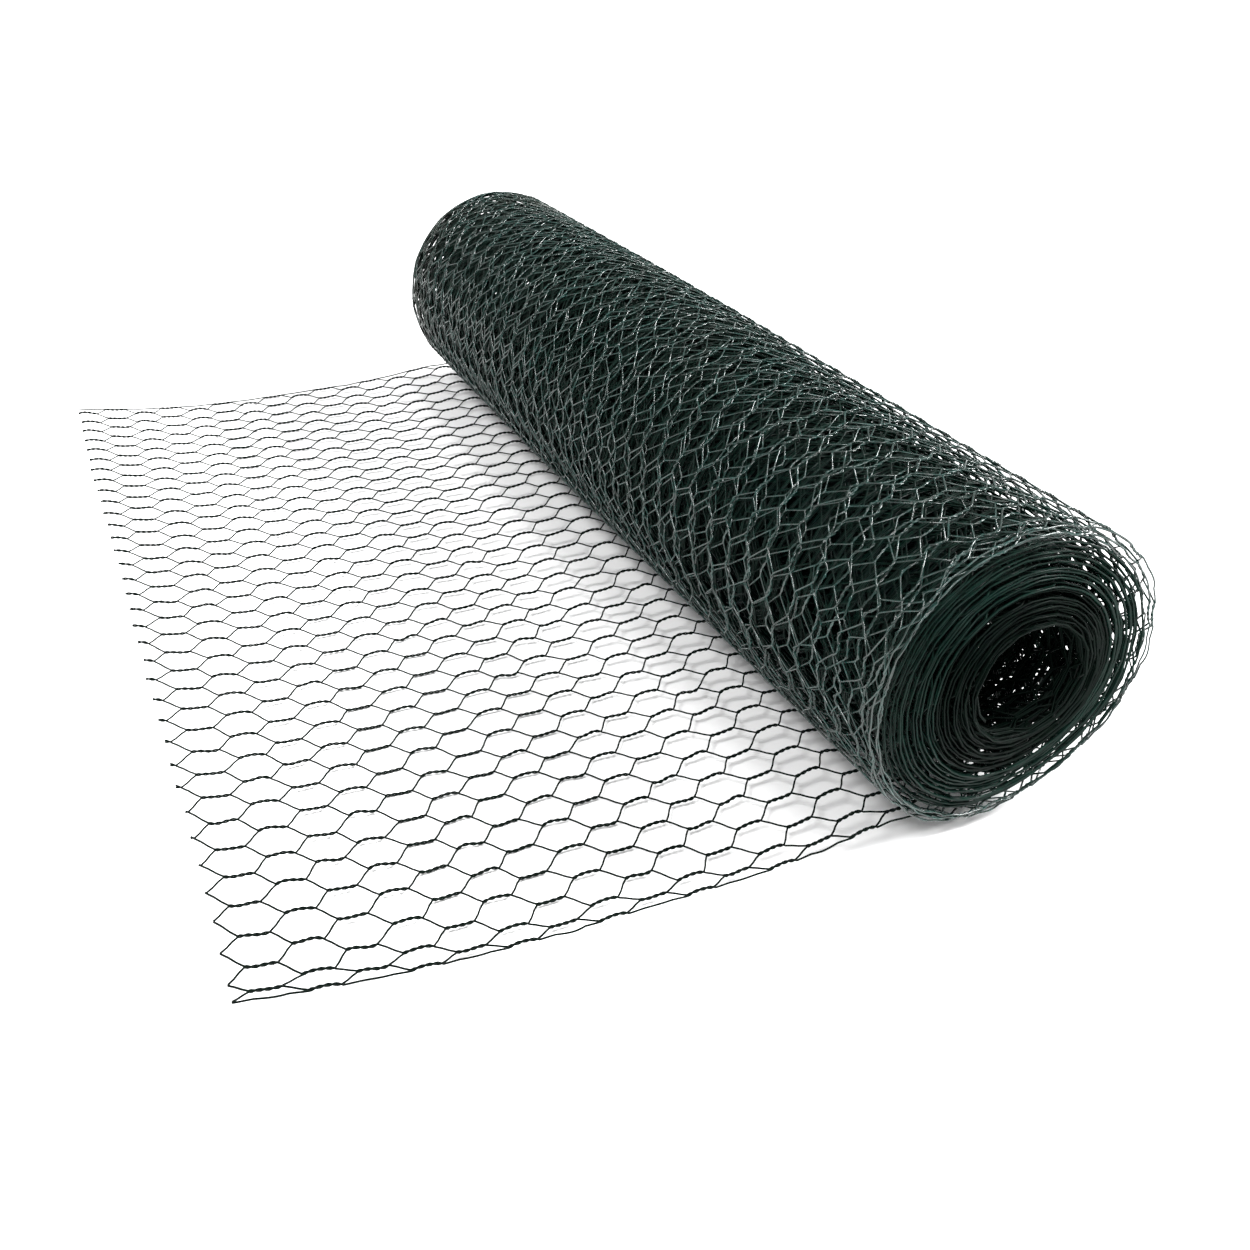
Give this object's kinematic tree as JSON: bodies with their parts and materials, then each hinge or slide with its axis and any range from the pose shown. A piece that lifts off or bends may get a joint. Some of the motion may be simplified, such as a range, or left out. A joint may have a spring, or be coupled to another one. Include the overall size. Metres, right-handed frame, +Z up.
{
  "type": "roll of chicken wire",
  "caption": "Roll of dark green coated hexagonal wire netting lying on its side, with an open bore and a tail unrolled flat on the floor beside it, for fences, cages and plant guards.",
  "frame": {"origin": "on the floor, at the middle of the box around the roll and its tail", "axes": "+X along the netting from the tail's cut end to the roll, +Y along the roll's axis, +Z up"},
  "size_m": [0.5656, 0.929, 0.2109],
  "materials": {
    "coated_wire": "satin dark green plastic coat on steel wire"
  },
  "bodies": {
    "root": {"roll": "coated_wire", "tail_near_half": "coated_wire", "tail_far_half": "coated_wire"}
  },
  "joints": []
}
